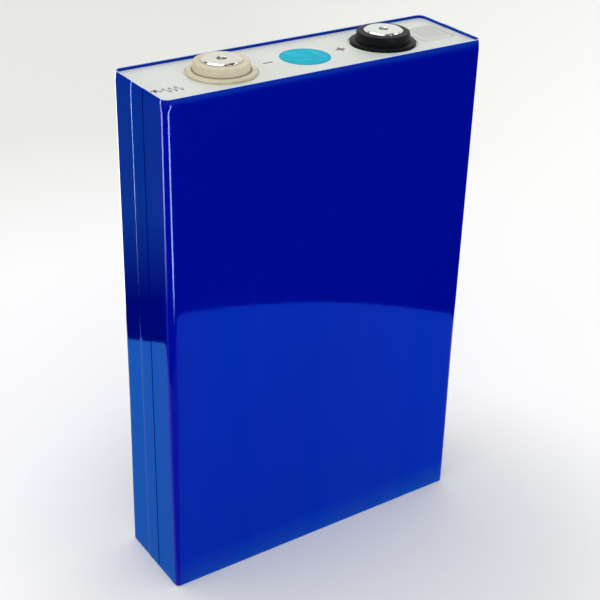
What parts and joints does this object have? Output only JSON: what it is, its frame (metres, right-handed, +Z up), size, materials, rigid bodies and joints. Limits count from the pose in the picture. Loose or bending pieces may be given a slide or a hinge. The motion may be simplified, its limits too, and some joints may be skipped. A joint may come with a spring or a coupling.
{
  "type": "prismatic battery cell",
  "caption": "Tall flat sealed battery cell in an aluminium can with blue insulating film, round weld-pad terminals in collars at both ends of the lid, and a vent between them.",
  "frame": {"origin": "centre of the base, on the film's underside", "axes": "+Z up towards the terminals, +X along the wide face towards the positive terminal, -Y out of the front wide face"},
  "size_m": [0.1306, 0.0362, 0.2],
  "materials": {
    "blue_film": "glossy thin film",
    "can_metal": "drawn, satin",
    "lid_metal": "fine matt brushed",
    "terminal_metal": "machined, satin",
    "natural_collar": "moulded, unpigmented, satin",
    "black_collar": "moulded, satin",
    "turquoise_film": "glossy film, slightly creased",
    "label_film": "clear-coated plain label",
    "burst_metal": "stamped, bright",
    "plug_rubber": "smooth",
    "gasket_rubber": "smooth fluoro-rubber",
    "copper": "copper, satin",
    "conductor_aluminium": "rolled, bright",
    "white_insulator": "moulded, satin",
    "weld_tape": "amber tape",
    "cathode_coating": "calendered dark grey coating",
    "anode_coating": "calendered graphite coating",
    "separator_film": "white porous film",
    "bag_film": "translucent milky film"
  },
  "bodies": {
    "root": {"insulation_film": "blue_film", "can": "can_metal", "lid_plate": "lid_metal", "fill_port_cap": "lid_metal", "negative_terminal_pad": "terminal_metal", "positive_terminal_pad": "terminal_metal", "positive_post": "terminal_metal", "negative_collar": "natural_collar", "positive_collar": "black_collar", "vent_cover": "turquoise_film", "code_label": "label_film", "vent_disc": "burst_metal", "fill_port_plug": "plug_rubber", "negative_seal_gasket": "gasket_rubber", "positive_seal_gasket": "gasket_rubber", "negative_post": "copper", "negative_connector_plate": "copper", "negative_foil_tabs": "copper", "positive_connector_plate": "conductor_aluminium", "positive_foil_tabs": "conductor_aluminium", "negative_lower_insulator": "white_insulator", "positive_lower_insulator": "white_insulator", "floor_pad": "white_insulator", "weld_cover_tapes": "weld_tape", "front_roll_cathode": "cathode_coating", "back_roll_cathode": "cathode_coating", "front_roll_anode": "anode_coating", "back_roll_anode": "anode_coating", "front_roll_separators": "separator_film", "back_roll_separators": "separator_film", "inner_bag": "bag_film"}
  },
  "joints": []
}
